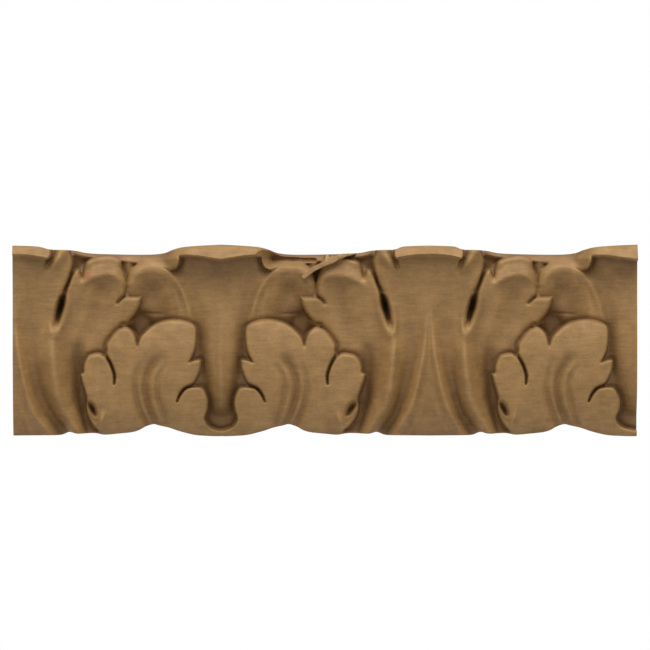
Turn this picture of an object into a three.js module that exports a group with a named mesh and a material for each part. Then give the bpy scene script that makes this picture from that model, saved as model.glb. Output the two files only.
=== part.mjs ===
// A length of leaf moulding, pressed in one piece in a carved mould, with a flat back.
// Tall leaves with a rolled tip alternate with leaves that stand behind them, and a
// low leaf stands in front of each gap. Each half repeat mirrors the one beside it.
// Millimetres: x runs along the length, z is up, and the carving faces -y.
// The origin is at the middle of the flat back, which lies on y = 0.

import * as THREE from 'three';

// Overall size. A half repeat runs from the axis of a tall leaf to that of a leaf behind.
const HEIGHT = 25.4;
const HALF_REPEAT = 27.8;
const HALF_REPEATS = 3;

// How far each layer stands off the flat back at its fullest.
const GROUND_DEPTH = 3.2;
const TOP_RIM_DEPTH = 4.5;
const BACK_LEAF_DEPTH = 6.4;
const BACK_LEAF_SIDE_DEPTH = 6;
const TALL_LEAF_DEPTH = 6.7;
const LOW_LEAF_DEPTH = 7.9;
const ROLLED_TIP_DEPTH = 9.8;
const SHOULDER_DEPTH = 3;
const UPPER_EYE_RIM_DEPTH = 5;
const LOWER_EYE_RIM_DEPTH = 5.4;

// How far parts of a layer fall back from its fullest: the arched dish in the leaf
// behind, the step at its rim and the arch round it, the sides of the leaves, and the
// tops that slope back.
const DISH_FALL = 1.6;
const DISH_RIM_FALL = 0.15;
const ARCH_FALL = 2.4;
const SIDE_LOBE_FALL = 0.6;
const LOW_LEAF_INNER_FALL = 0.5;
const LOW_LEAF_OUTER_FALL = 0.3;
const ROLLED_TIP_FALL = 2.2;
const TOP_RIM_FALL = 1;

// How far in from its rim the dish and the step reach their depths, and how far out from
// it the arch falls away.
const DISH_RIM_WIDTH = 3.2;
const DISH_STEP_WIDTH = 0.8;
const ARCH_WIDTHS = [0.2, 2.6];

// The edges of the leaves: their rounding, and how many millimetres a wall drops
// for each millimetre outward. No wall undercuts, so the pressing leaves its mould.
const LEAF_EDGE_RADIUS = 0.6;
const BACK_LEAF_EDGE_RADIUS = 1.2;
const TIP_EDGE_RADIUS = 0.35;
const WALL_DROP = 6;
const TOP_RIM_WALL_DROP = 3;
const UPPER_EYE_WALL_DROP = 6;
const LOWER_EYE_WALL_DROP = 3.4;
const FILLET = 0.25;
const SHOULDER_FILLET = 1.8;
const EYE_FILLET = 0.5;

// How many times the grid of a half repeat is halved, the grid squares that this gives
// each way, and how far a facet may stray.
const GRID_HALVINGS = 6;
const GRID = 2 ** GRID_HALVINGS;
const FACET_TOLERANCE = 0.24;
// How near a grid point has to be to an outline to move onto it, in grid squares.
const OUTLINE_PULL = 0.35;

// Everything below is drawn on one half repeat, in hundredths of it: across, from 0
// at the axis of the tall leaf to 100 at the axis of the leaf behind, and up, from 0
// at the foot to 100 at the top. A point given twice in a row is a sharp corner.

// The silhouette: where the moulding starts and ends at each place across.
const TOP_LINE = [
  [0, 100], [12, 99.5], [18, 98], [29, 97.5], [38, 95.9], [62, 95.3], [72, 96], [77, 97.9],
  [82, 99.2], [91, 100], [100, 100.5],
];
const FOOT_LINE = [
  [0, 0], [17, 0.2], [23, 0.4], [27, 1.9], [31, 1], [38.5, 1.3], [44, 0.5], [50, 1], [57, 1.8],
  [60.5, 2.9], [63.5, 4.7], [67.3, 6], [70, 5.4], [75, 4.2], [79, 2.7], [83.6, 1.3], [88.5, 0.2],
  [96, -0.3], [100, -0.3],
];

// The places across between which one form eases into the next, and the heights up.
const DISH_TO_STEM = [74, 84];
const DISH_END = [78, 84];
const TALL_MIDDLE_TO_SIDE = [19, 27];
const SIDE_LOBE_LEAN = [30, 58];
const LOW_LEAF_INNER_LEAN = [44, 60];
const LOW_LEAF_OUTER_LEAN = [80, 95];
const LOW_LEAF_LEAN_RISE = [10, 40];
const ROLLED_TIP_RISE = [93, 101];
const SHOULDER_TO_TIP = [66, 84];
const SHOULDER_END = [76, 80];
const ARCH_RISE = [80, 92];
const TOP_RIM_RISE = [91, 98];

// The profile of a layer gives its depth at each height, as a share of its fullest.
const TALL_PROFILE = [
  [0, 0.64], [8, 0.78], [18, 0.9], [30, 0.97], [42, 0.995], [54, 0.97], [64, 0.97], [74, 1.005],
  [84, 1.07], [91, 1.14], [100, 1.18],
];
const SIDE_LOBE_PROFILE = [
  [0, 0.63], [10, 0.72], [25, 0.79], [45, 0.81], [60, 0.85], [72, 0.93], [80, 0.98], [86, 1.01],
  [95, 1], [100, 0.99],
];
const BACK_PROFILE = [
  [0, 0.38], [5, 0.38], [10, 0.47], [16, 0.69], [24, 0.86], [35, 0.95], [50, 1], [62, 1],
  [75, 0.98], [84, 1], [91, 1.05], [100, 1.1],
];
const LOW_PROFILE = [
  [-5, 0.54], [0, 0.61], [6, 0.71], [14, 0.81], [24, 0.89], [34, 0.94], [44, 0.97], [50, 0.965],
  [56, 0.94], [61, 0.9], [66, 0.85],
];

// The outline of the tall leaf: its small upper lobe, the side lobe with its toothed and
// curled edge, and the pointed lobe below.
const TALL_LEAF = [
  [-10, 108], [26, 108], [26.6, 97], [27.6, 93.5], [28.2, 90.5], [27.4, 85], [25.5, 78.4],
  [24.3, 76], [24.3, 76], [25.4, 77.5], [27, 80.4], [28.6, 84], [30, 86.4], [31.4, 86.6],
  [32.4, 84.4], [33.4, 82.6], [33.4, 82.6], [34, 85], [34.6, 88], [35.8, 91], [38.5, 92.6], [42.3, 93.8],
  [46.6, 94.2], [51, 92.2], [52, 88], [53.5, 83.7], [54.3, 80], [54, 76.5], [52.8, 73],
  [50.3, 70], [50.3, 70], [52.4, 72], [54.8, 72.8], [58, 72.8], [61.5, 72.8], [61.5, 72.8],
  [60.8, 68.4], [58.2, 63.2], [54.8, 59], [51.9, 57.9], [53, 50], [49, 35], [45, 19], [41, -8],
  [41, -8], [-10, -8], [-10, -8],
];

// The outline of the low leaf in front: five round lobes and two small teeth.
const LOW_LEAF = [
  [43, -8], [42.6, -1], [41, 3.2], [38.6, 5.8], [36.5, 9.5], [35.5, 13.5], [35.6, 17], [35.6, 20.5],
  [34.6, 24.2], [33.4, 28.4], [32.6, 32.1], [32.6, 32.1], [34, 33.2], [34.1, 35.8], [34.9, 38.9],
  [36.5, 41.6], [38.9, 42.7], [41.8, 42.9], [44, 41.6], [44, 41.6], [45.2, 44.2], [45.2, 47.4],
  [46.4, 49.9], [49.5, 54.2], [52.4, 56.3], [54.8, 56.6], [57.4, 54.4], [58.8, 51.6], [59.9, 46.6],
  [59.9, 46.6], [61.2, 51], [63.7, 54.3], [67.3, 57.6], [71.6, 59.7], [76.9, 60.8], [82.2, 60.2],
  [86.5, 58.6], [88, 56.3], [88.2, 52.1], [87.5, 45.8], [86.1, 41.6], [84.6, 38.4],
  [84.6, 38.4], [86.5, 39.4], [89.4, 39.8], [90.2, 38.9], [89.7, 34.2], [87.5, 28.9],
  [84.8, 25.2], [84.8, 25.2], [87.3, 25.5], [90.6, 25], [92.3, 22.6], [93.5, 18.4],
  [93.3, 13.7], [92.3, 10.5], [92.3, 7.9], [94.2, 4.7], [97.1, 3.2], [100, 2.6], [110, 2.6],
  [110, 2.6], [110, -8], [110, -8],
];

// The leaf behind, the arched dish in its side, and the thin rim along the top.
const BACK_LEAF = [
  [53.4, 70], [54.2, 78], [55, 83], [56.2, 87], [59, 90.3], [59, 90.3], [60, 108],
  [60, 108], [110, 108], [110, 108], [110, -8], [110, -8], [54, -8], [54, -8],
];
const DISH = [
  [56.7, 80], [58.4, 83.7], [62, 86.3], [67.3, 87.2], [72.6, 85.6], [76.4, 80.5], [78.4, 74.7],
  [79.8, 67.9], [80.2, 61], [80.2, -20], [80.2, -20], [50, -20], [50, -20], [50, 72],
];
const TOP_RIM = [
  [27, 110], [27, 95.6], [34, 94.8], [39, 94], [42, 93.2], [52, 91.5], [59.4, 90.3], [72, 89],
  [80, 91], [82, 110], [82, 110],
];

// The rolled tips of both leaves, and the drop-shaped eyes sunk between the lobes.
const TALL_TIP = [
  [-10, 110], [-10, 95], [-10, 95], [0, 95], [5, 94.9], [10, 94.3], [15, 93.4], [17.2, 93.2],
  [18.2, 94.5], [18.4, 97], [18.4, 110], [18.4, 110],
];
const BACK_TIP = [
  [66, 110], [66, 93], [70, 90], [73.6, 88], [76.4, 87.6], [78.8, 89], [80, 92], [80.2, 94.4],
  [80.2, 94.4], [84, 94.6], [89, 94.2], [96, 93], [100, 92.2], [104, 93], [104, 110], [104, 110],
];
const UPPER_EYE = [
  [24.6, 74.4], [24.7, 71.6], [24.1, 67.4], [22.9, 63.7], [21.7, 60.8], [20.8, 61], [20.9, 64.4],
  [21.6, 68.4], [22.9, 72.4],
];
const LOWER_EYE = [
  [36.6, 17.6], [38, 16.6], [39.3, 14.4], [40, 11.6], [39.7, 10.3], [38.7, 11], [37.5, 13.2], [36.6, 15.6],
];

// Strokes of the gouge. Each point is across, up, half width and height of the stroke, the
// last two in hundredths of the moulding's height. A cut has a height below 0.
const TALL_STROKES = [
  // The raised line along each side of the stalk, spreading to the foot.
  [
    [0.3, 80, 2.4, 0], [0.8, 66, 2.4, 1.2], [1.8, 54, 2.4, 2.4], [2.8, 44.7, 2.5, 3.2],
    [4.6, 33.4, 2.6, 3.8], [7, 21.6, 2.7, 4.2], [10.2, 11, 2.8, 4.2], [14.6, 4.8, 2.8, 4],
    [18.6, -1, 2.8, 3.8],
  ],
  // The hollow between those lines at the foot, with one fine line left standing in it.
  [[0, 38, 2, 0], [0, 30, 4, -0.6], [0, 15, 8, -1.4], [0, 0, 12, -2]],
  [[1.4, 26, 1.2, 0], [2.6, 17, 1.2, 0.5], [5.4, 9, 1.2, 0.7], [9.4, 1.6, 1.2, 0.7]],
  // The deep flute beside the stalk.
  [
    [9, 76, 6, 0], [8.4, 62, 6, -1.6], [8.4, 50, 5.4, -3], [9, 42, 5, -4],
    [10.6, 32, 4.8, -5], [13.2, 21.6, 4.6, -5.8], [17, 13.6, 4.4, -6.2], [22, 5.8, 4.2, -6.4],
    [26.2, 0, 4, -6.2],
  ],
  // The ridge that runs down from the upper eye.
  [
    [20, 60, 2.4, 0], [18.8, 53, 3.4, 1.6], [19, 45, 4, 2.8], [20, 36.8, 4.2, 3.6],
    [21.4, 26.8, 4.2, 4.2], [23.4, 16.3, 4.2, 4.6], [26.4, 8.4, 3.9, 4.8], [30.4, 1, 3.6, 4.8],
  ],
  // The channel between the side lobe and the low leaf.
  [
    [30, 56, 4.6, 0], [30.4, 49, 4.4, -1], [30.8, 42, 4, -3.6], [31.2, 34.7, 4, -5.8],
    [31.8, 26.8, 4, -7], [32.6, 20.3, 4, -7.4], [34.4, 13.7, 3.8, -7.8], [36.6, 7.1, 3.8, -8.4],
    [39.4, 0, 3.8, -8.4],
  ],
  // The crease that runs down into the upper eye.
  [[28, 85, 1.2, -1.6], [26.6, 80, 1.2, -3.2], [25.6, 77.5, 1.2, -4.4], [24.7, 74.5, 1.2, -4.8]],
  // The ramp that rises out of its foot.
  [[22, 63, 1.2, -6], [21, 60, 1.2, -4.4], [20.4, 57.4, 1.4, -1.4], [20.2, 55.6, 1.4, 0]],
  // The lips on both sides of the upper eye.
  [
    [28, 82, 1.6, 0.4], [26.8, 74, 2.2, 1.4], [26, 66, 2.2, 1.6], [23.8, 58.5, 2.2, 1.4],
    [20.8, 53, 2.4, 1.2],
  ],
  [
    [22.5, 79, 2, 0.4], [20.4, 71, 2.2, 0.8], [18.4, 66, 2.2, 1], [17.6, 60, 2.2, 1],
    [18.2, 55, 2.2, 1],
  ],
  // The crest of the small upper lobe, and the cleft between it and the rolled tip.
  [
    [15.4, 86, 2, 0], [17.8, 88, 2.4, 1], [21, 91.4, 2.8, 2.2],
    [24, 95, 3.2, 2.8], [25.4, 99, 4, 2.4],
  ],
  [
    [19.5, 98, 2, -9.6], [19, 95.5, 1.9, -8.8], [17.7, 91.5, 1.7, -5.6], [15.8, 88, 1.5, -1.6],
    [14.6, 86, 1.5, 0],
  ],
  // The curled edge of the side lobe, and the hollow below it.
  [
    [33.6, 78.5, 1.8, 0.4], [35, 80.3, 1.8, 0.8], [38.5, 82.6, 2, 1.3], [43.8, 84.4, 2.2, 1.5],
    [48.5, 83.9, 2, 1.3], [52.4, 80.8, 1.8, 0.6],
  ],
  [
    [33.4, 83, 2, -1], [35, 86.6, 2.6, -2.2], [38, 89.6, 2.6, -1.6], [43, 91.4, 2.8, -1.1],
    [48, 91, 2.6, -1], [51.6, 88.5, 2.2, -1.6], [53.6, 83, 2, -1.8], [54.4, 78, 1.8, -1.4],
  ],
  [
    [43.8, 82, 5, 0], [43.8, 78.6, 6, -2.8], [43.2, 75.4, 6.6, -3.8], [42, 69, 7.4, -2.8],
    [39.5, 61, 7, -1.4], [37, 53, 6, 0],
  ],
  // The slit above the pointed lobe.
  [[52.2, 72.6, 1.2, -1.6], [50.5, 70.4, 1.2, -1.2], [49.4, 68.8, 1.2, 0]],
  // Faint veins of the side lobe.
  [
    [39, 76, 3.2, 0], [37.5, 71.6, 3.2, 0.4], [33.7, 61, 3.2, 0.8], [30, 50.5, 3.2, 0.8],
    [28, 42.6, 3.2, 0.4],
  ],
  [[44, 73, 3.6, 0], [44, 71, 3.6, -0.2], [41, 60, 4, -0.6], [37, 50, 4, -0.6]],
];
const BACK_STROKES = [
  // The low line down the middle of the stem.
  [
    [100, 70, 2.4, 0], [100, 62, 2.4, 0.6], [100, 40, 2.4, 1.6], [100, 24, 2.8, 1.6],
    [100, 12, 3.2, 0],
  ],
  // The rib between the dish and the stem, and the hollow beside it.
  [[74.6, 86.6, 2, 1], [78, 82, 2.2, 1.8], [81, 77, 2.2, 2.2], [84, 69, 2.2, 2], [86, 61, 2.2, 1.6]],
  [
    [83, 92, 4, -1.2], [84.4, 84, 4, -1.2], [87, 76, 4, -1.2], [88.6, 66, 4, -2],
    [89.4, 54, 4.2, -4], [89.8, 40, 4.6, -4.6], [91.6, 30, 4.4, -4.6], [93, 16, 4, -4],
  ],
  // The deep corner behind the first two big lobes of the low leaf.
  [[53, 66, 4, -1], [60, 61, 6, -4.4], [61, 56, 6.5, -9], [60, 48, 5, -12]],
  // A faint crease across the foot of the dish.
  [[60, 65, 1.2, 0], [64, 64.4, 1.2, -0.5], [70, 64.2, 1.2, -0.45], [75, 63.6, 1.2, 0]],
];
const GROUND_STROKES = [
  // The pocket between the small upper lobe and the side lobe.
  [[28.5, 96, 3, 2], [31, 93, 3.4, 1.6], [33, 89, 3, 1.6], [33, 84, 2, 4]],
  [[31, 96, 2, 2.4], [35, 94.6, 2.4, 4], [41, 93.4, 2.4, 4]],
  // The web at the foot of the pocket between the side lobe and the leaf behind.
  [[54, 68, 2.6, 8], [54.8, 74, 2.8, 7.4], [55.2, 79, 2.8, 6], [55.6, 85, 3.4, 4.4], [55.6, 91, 4.4, 4.6]],
  [[48, 58, 3, 5], [50.6, 58.6, 3, 6.4], [53.4, 57.6, 3, 7], [55, 60, 3, 6]],
];
const LOW_STROKES = [
  // Three flutes that run down the middle of the leaf, with fine ridges between them.
  [
    [62.4, 41, 1.5, 0], [61.4, 38, 1.5, -0.6], [59.6, 31.6, 1.7, -1.5], [58.7, 24.9, 1.7, -2],
    [59.8, 17.6, 1.8, -2.4], [62, 11, 1.9, -2.6], [65.6, 4, 2.2, -2.8],
  ],
  [
    [71, 41.4, 1.8, 0], [69.4, 40.2, 2.2, -1.1], [66.3, 35.4, 2.1, -2], [64.2, 30.1, 2, -2.5],
    [63.6, 24.2, 1.9, -2.8], [64.6, 17.6, 1.9, -3], [66.3, 12.4, 2, -3.2], [69.4, 5, 2.4, -3.4],
  ],
  [
    [74.4, 37.4, 1.6, 0], [73.1, 36, 1.6, -0.6], [70.7, 32.1, 1.6, -1.4], [69.5, 26.8, 1.6, -1.8],
    [69.7, 20.3, 1.6, -2.1], [71.2, 13.7, 1.7, -2.2], [73.4, 7, 2, -2.2],
  ],
  // The hollow of the biggest lobe, and the trough that the flutes lie in.
  [[70.5, 41.5, 3.2, 0], [68, 39, 3.6, -1.4], [65.6, 34.6, 3.2, -1], [64, 28, 3, 0]],
  [[64, 32, 6, 0], [63.5, 22, 6.4, -1.6], [65.5, 10, 7, -2.6], [67, 2, 8, -3]],
  // The thin lip that curls round the lower eye.
  [
    [36.4, 20, 1.2, -0.6], [36.2, 14, 1.8, -1.6], [37.6, 9, 2, -2.4], [40, 5.4, 2.2, -2],
    [42.6, 1, 2.4, -1],
  ],
  [
    [43.4, 13.4, 1.2, 0], [43.2, 10, 1.6, 1.8], [42.2, 6.8, 1.8, 3], [40.2, 5.4, 1.6, 2.4],
    [38, 7, 1.4, 0.6],
  ],
  // Slits between the lobes.
  [
    [43.8, 43.4, 1.2, -7], [45.4, 41, 1.2, -7], [47.4, 37, 1.2, -6.4], [48.8, 32.4, 1.2, -6],
    [48.9, 29.4, 1.2, -5.4], [48.7, 27, 1.2, -4.8],
  ],
  [
    [87, 27, 1.2, -4.8], [84.6, 26, 1.2, -5.4], [82.2, 24.4, 1.2, -5.6], [80.2, 21.4, 1.2, -5],
    [78.8, 17.8, 1.2, -4.4],
  ],
];

// How far the carver's hand let the lobes wander towards the tall leaf in each half
// repeat: the most they moved, and the places between which they did.
const DRIFT = [
  { most: 0, from: [0, 1], to: [99, 100] },
  { most: 1.9, from: [12, 20], to: [32, 42] },
  { most: 2.2, from: [10, 20], to: [92, 99] },
];

// How many straight pieces draw each stretch of a smooth line.
const LINE_STEPS = 4;

const across = (share) => share * HALF_REPEAT / 100;
const upward = (share) => share * HEIGHT / 100;
const mix = (start, end, share) => start + (end - start) * share;
const limit = (value) => Math.min(Math.max(value, 0), 1);

// A share that eases from 0 at the first value to 1 at the second.
function ease(value, first, second) {
  const share = limit((value - first) / (second - first));
  return share * share * (3 - 2 * share);
}

// The larger of two depths, with a small fillet where they meet, and the smaller.
function larger(one, other, fillet) {
  const share = limit(0.5 + 0.5 * (one - other) / fillet);
  return mix(other, one, share) + fillet * share * (1 - share);
}
const smaller = (one, other, fillet) => -larger(-one, -other, fillet);

// A smooth line through points of any number of values.
function smoothLine(points, closed) {
  const count = points.length;
  const pick = (index) => (closed ? points[(index + count) % count]
    : points[Math.min(Math.max(index, 0), count - 1)]);
  const line = [];
  for (let index = 0; index < (closed ? count : count - 1); index += 1) {
    const [before, start, end, after] = [-1, 0, 1, 2].map((step) => pick(index + step));
    const corner = start.every((value, axis) => value === end[axis]);
    for (let step = 0; step < LINE_STEPS && !corner; step += 1) {
      const share = step / LINE_STEPS;
      line.push(start.map((value, axis) => 0.5 * (
        2 * value + (end[axis] - before[axis]) * share
        + (2 * before[axis] - 5 * value + 4 * end[axis] - after[axis]) * share ** 2
        + (3 * value - before[axis] - 3 * end[axis] + after[axis]) * share ** 3)));
    }
  }
  if (!closed) line.push(points[count - 1]);
  return line;
}

const inMillimetres = ([share, up, ...rest]) => [across(share), upward(up), ...rest.map(upward)];
const outlineOf = (points) => smoothLine(points, true).map(inMillimetres);
const strokesOf = (strokes) => strokes.map((points) => smoothLine(points, false).map(inMillimetres));

// The height of a profile or silhouette at one place, from its smooth line.
function heightAt(line, place) {
  const next = line.findIndex(([position]) => position > place);
  if (next === 0) return line[0][1];
  if (next < 0) return line[line.length - 1][1];
  const [start, end] = [line[next - 1], line[next]];
  return mix(start[1], end[1], (place - start[0]) / (end[0] - start[0]));
}

// The place along a straight stretch that is nearest to a point, and its distance squared.
function nearest(x, z, start, end) {
  const run = end[0] - start[0];
  const rise = end[1] - start[1];
  const share = limit(((x - start[0]) * run + (z - start[1]) * rise) / (run * run + rise * rise));
  return { share, apart: (x - start[0] - share * run) ** 2 + (z - start[1] - share * rise) ** 2 };
}

// The distance in from an outline, which is below 0 outside it.
function distanceInside(x, z, outline) {
  let apart = Infinity;
  let inside = false;
  outline.forEach((start, index) => {
    const end = outline[(index + 1) % outline.length];
    apart = Math.min(apart, nearest(x, z, start, end).apart);
    const crosses = (start[1] > z) !== (end[1] > z);
    if (crosses && x < mix(start[0], end[0], (z - start[1]) / (end[1] - start[1]))) inside = !inside;
  });
  return inside ? Math.sqrt(apart) : -Math.sqrt(apart);
}

// The height that one stroke of the gouge adds at a point.
function strokeHeight(x, z, stroke) {
  let strongest = 0;
  for (let index = 1; index < stroke.length; index += 1) {
    const [start, end] = [stroke[index - 1], stroke[index]];
    const { share, apart } = nearest(x, z, start, end);
    const height = mix(start[3], end[3], share) * Math.exp(-apart / mix(start[2], end[2], share) ** 2);
    if (Math.abs(height) > Math.abs(strongest)) strongest = height;
  }
  return strongest;
}

// A layer with a rounded edge inside its outline and a steep wall outside it.
function withEdge(depth, inside, radius, drop) {
  const rounded = limit(1 - inside / radius);
  const edge = depth - radius * (1 - Math.sqrt(1 - rounded * rounded));
  return inside > 0 ? edge : depth - radius + drop * inside;
}

const strokesAt = (x, z, strokes) => strokes.reduce((sum, stroke) => sum + strokeHeight(x, z, stroke), 0);

const lines = {
  top: smoothLine(TOP_LINE, false),
  foot: smoothLine(FOOT_LINE, false),
  tall: smoothLine(TALL_PROFILE, false),
  side: smoothLine(SIDE_LOBE_PROFILE, false),
  back: smoothLine(BACK_PROFILE, false),
  low: smoothLine(LOW_PROFILE, false),
};
const outlines = {
  tallLeaf: outlineOf(TALL_LEAF),
  lowLeaf: outlineOf(LOW_LEAF),
  backLeaf: outlineOf(BACK_LEAF),
  dish: outlineOf(DISH),
  topRim: outlineOf(TOP_RIM),
  tallTip: outlineOf(TALL_TIP),
  backTip: outlineOf(BACK_TIP),
  upperEye: outlineOf(UPPER_EYE),
  lowerEye: outlineOf(LOWER_EYE),
};
const strokes = {
  ground: strokesOf(GROUND_STROKES),
  tall: strokesOf(TALL_STROKES),
  back: strokesOf(BACK_STROKES),
  low: strokesOf(LOW_STROKES),
};

// The leaf behind: a stem in the middle, and an arched dish in each side.
function backLeafDepth(share, up, x, z) {
  const stem = ease(share, ...DISH_TO_STEM);
  const dish = distanceInside(x, z, outlines.dish);
  const hollow = DISH_FALL * ease(dish, 0, DISH_RIM_WIDTH) + DISH_RIM_FALL * ease(dish, 0, DISH_STEP_WIDTH);
  const arch = BACK_LEAF_SIDE_DEPTH - ARCH_FALL * ease(-dish, ...ARCH_WIDTHS) * ease(up, ...ARCH_RISE);
  const shape = mix(arch, BACK_LEAF_DEPTH * heightAt(lines.back, up), stem);
  const depth = shape - hollow * (1 - ease(share, ...DISH_END)) + strokesAt(x, z, strokes.back);
  return withEdge(depth, distanceInside(x, z, outlines.backLeaf), BACK_LEAF_EDGE_RADIUS, WALL_DROP);
}

// The tall leaf, whose side lobes lie back from its middle.
function tallLeafDepth(share, up, x, z) {
  const side = ease(share, ...TALL_MIDDLE_TO_SIDE);
  const shape = TALL_LEAF_DEPTH * mix(heightAt(lines.tall, up), heightAt(lines.side, up), side);
  const depth = shape - SIDE_LOBE_FALL * ease(share, ...SIDE_LOBE_LEAN) + strokesAt(x, z, strokes.tall);
  return withEdge(depth, distanceInside(x, z, outlines.tallLeaf), LEAF_EDGE_RADIUS, WALL_DROP);
}

// The low leaf, which leans back a little at both sides.
function lowLeafDepth(share, up, x, z) {
  const inner = (1 - ease(share, ...LOW_LEAF_INNER_LEAN)) * ease(up, ...LOW_LEAF_LEAN_RISE);
  const lean = LOW_LEAF_INNER_FALL * inner + LOW_LEAF_OUTER_FALL * ease(share, ...LOW_LEAF_OUTER_LEAN);
  const depth = LOW_LEAF_DEPTH * heightAt(lines.low, up) - lean + strokesAt(x, z, strokes.low);
  return withEdge(depth, distanceInside(x, z, outlines.lowLeaf), LEAF_EDGE_RADIUS, WALL_DROP);
}

// The rolled tips slope back towards the top, and so does the thin top rim.
function tipDepth(up, x, z, outline, fullest) {
  const [first, last] = ROLLED_TIP_RISE;
  const depth = fullest - ROLLED_TIP_FALL * limit((up - first) / (last - first));
  return withEdge(depth, distanceInside(x, z, outline), TIP_EDGE_RADIUS, WALL_DROP);
}
function topRimDepth(up, x, z) {
  const depth = TOP_RIM_DEPTH - TOP_RIM_FALL * ease(up, ...TOP_RIM_RISE);
  return withEdge(depth, distanceInside(x, z, outlines.topRim), TIP_EDGE_RADIUS, TOP_RIM_WALL_DROP);
}

// An eye is sunk as a pit whose walls slope to its middle.
function sinkEye(depth, x, z, outline, rim, drop) {
  return smaller(depth, rim - drop * distanceInside(x, z, outline), EYE_FILLET);
}

// The depth of the whole front at one place of the half repeat.
function frontDepth(x, z) {
  const [share, up] = [100 * x / HALF_REPEAT, 100 * z / HEIGHT];
  const ground = GROUND_DEPTH + strokesAt(x, z, strokes.ground);
  let depth = larger(ground, topRimDepth(up, x, z), FILLET);
  depth = larger(depth, backLeafDepth(share, up, x, z), FILLET);
  depth = larger(depth, tallLeafDepth(share, up, x, z), FILLET);
  depth = sinkEye(depth, x, z, outlines.upperEye, UPPER_EYE_RIM_DEPTH, UPPER_EYE_WALL_DROP);
  depth = larger(depth, lowLeafDepth(share, up, x, z), FILLET);
  depth = sinkEye(depth, x, z, outlines.lowerEye, LOWER_EYE_RIM_DEPTH, LOWER_EYE_WALL_DROP);
  depth = larger(depth, tipDepth(up, x, z, outlines.tallTip, ROLLED_TIP_DEPTH), FILLET);
  const shoulder = mix(SHOULDER_DEPTH, ROLLED_TIP_DEPTH, ease(share, ...SHOULDER_TO_TIP));
  const fillet = mix(SHOULDER_FILLET, FILLET, ease(share, ...SHOULDER_END));
  return larger(depth, tipDepth(up, x, z, outlines.backTip, shoulder), fillet);
}

const onBorder = ([column, row]) => column % GRID === 0 || row % GRID === 0;

// Where a grid point goes that lies close to an outline: onto it, so that the facets
// follow the edges of the leaves.
function drawnToOutline(x, z) {
  let best = { x, z, apart: (OUTLINE_PULL * HALF_REPEAT / GRID) ** 2 };
  for (const outline of Object.values(outlines)) {
    outline.forEach((start, index) => {
      const end = outline[(index + 1) % outline.length];
      const { share, apart } = nearest(x, z, start, end);
      if (apart >= best.apart) return;
      best = { x: mix(start[0], end[0], share), z: mix(start[1], end[1], share), apart };
    });
  }
  return [best.x, best.z];
}

// The front surface of one half repeat, as a grid of points.
function gridOf(half) {
  const { most, from, to } = DRIFT[half % DRIFT.length];
  const points = [];
  for (let column = 0; column <= GRID; column += 1) {
    const place = 100 * column / GRID;
    const drift = across(most * ease(place, ...from) * (1 - ease(place, ...to)));
    const share = place + 100 * drift / HALF_REPEAT;
    const [foot, top] = [heightAt(lines.foot, share), heightAt(lines.top, share)].map(upward);
    for (let row = 0; row <= GRID; row += 1) {
      const [x, z] = [across(share), mix(foot, top, row / GRID)];
      const [drawnX, drawnZ] = onBorder([column, row]) ? [x, z] : drawnToOutline(x, z);
      const along = half % 2 === 1 ? HALF_REPEAT - drawnX + drift : drawnX - drift;
      const left = (half - HALF_REPEATS / 2) * HALF_REPEAT;
      points.push(new THREE.Vector3(left + along, -frontDepth(drawnX, drawnZ), drawnZ - HEIGHT / 2));
    }
  }
  return points;
}

const grids = Array.from({ length: HALF_REPEATS }, (unused, half) => gridOf(half));

// A right-angled triangle of the grid is split at the middle of its long side.
const placeOf = ([column, row]) => column * (GRID + 1) + row;
const middleOf = ([start, end]) => [(start[0] + end[0]) / 2, (start[1] + end[1]) / 2];
const canSplit = ([start, , corner]) => (
  Math.abs(start[0] - corner[0]) + Math.abs(start[1] - corner[1]) > 1);
function split(triangle) {
  const [start, end, corner] = triangle;
  const middle = middleOf(triangle);
  return [[corner, start, middle], [end, corner, middle]];
}
const WHOLE_GRID = [
  [[GRID, GRID], [0, 0], [GRID, 0]],
  [[0, 0], [GRID, GRID], [0, GRID]],
];

// How steep the front is at a grid point, as the share of its facing that is forward.
function facingOf(points, [column, row]) {
  const pick = (side, rise) => points[placeOf([
    THREE.MathUtils.clamp(column + side, 0, GRID), THREE.MathUtils.clamp(row + rise, 0, GRID)])];
  const along = pick(1, 0).clone().sub(pick(-1, 0));
  const rising = pick(0, 1).clone().sub(pick(0, -1));
  return Math.abs(along.cross(rising).normalize().y);
}

// How far the surface strays from a facet's long side, square to the surface, in the
// worst half repeat.
function strayOf([start, end], middle) {
  const strays = grids.map((points) => points[placeOf(start)].clone()
    .add(points[placeOf(end)]).multiplyScalar(0.5).distanceTo(points[placeOf(middle)])
    * facingOf(points, middle));
  return Math.max(...strays);
}

// The need to split at each grid point, at least that of every smaller triangle there,
// so that neighbouring facets always share whole edges.
function splitNeeds(needAt) {
  const levels = [WHOLE_GRID];
  while (levels[0].every(canSplit)) levels.unshift(levels[0].flatMap(split));
  const needs = new Float64Array((GRID + 1) ** 2);
  for (const triangle of levels.slice(1).flat()) {
    const middle = middleOf(triangle);
    const below = split(triangle).map((child) => (canSplit(child) ? needs[placeOf(middleOf(child))] : 0));
    needs[placeOf(middle)] = Math.max(needs[placeOf(middle)], needAt(triangle, middle), ...below);
  }
  return needs;
}

function facetsOf(needs) {
  const facets = [];
  const visit = (triangle) => {
    const needed = canSplit(triangle) && needs[placeOf(middleOf(triangle))] > FACET_TOLERANCE;
    if (needed) split(triangle).forEach(visit);
    else facets.push(triangle);
  };
  WHOLE_GRID.forEach(visit);
  return facets;
}

// The front takes the facets that its relief needs. The flat back only takes those
// that its border shares with the front.
const frontNeeds = splitNeeds(strayOf);
const backNeeds = splitNeeds((triangle, middle) => (onBorder(middle) ? frontNeeds[placeOf(middle)] : 0));

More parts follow.
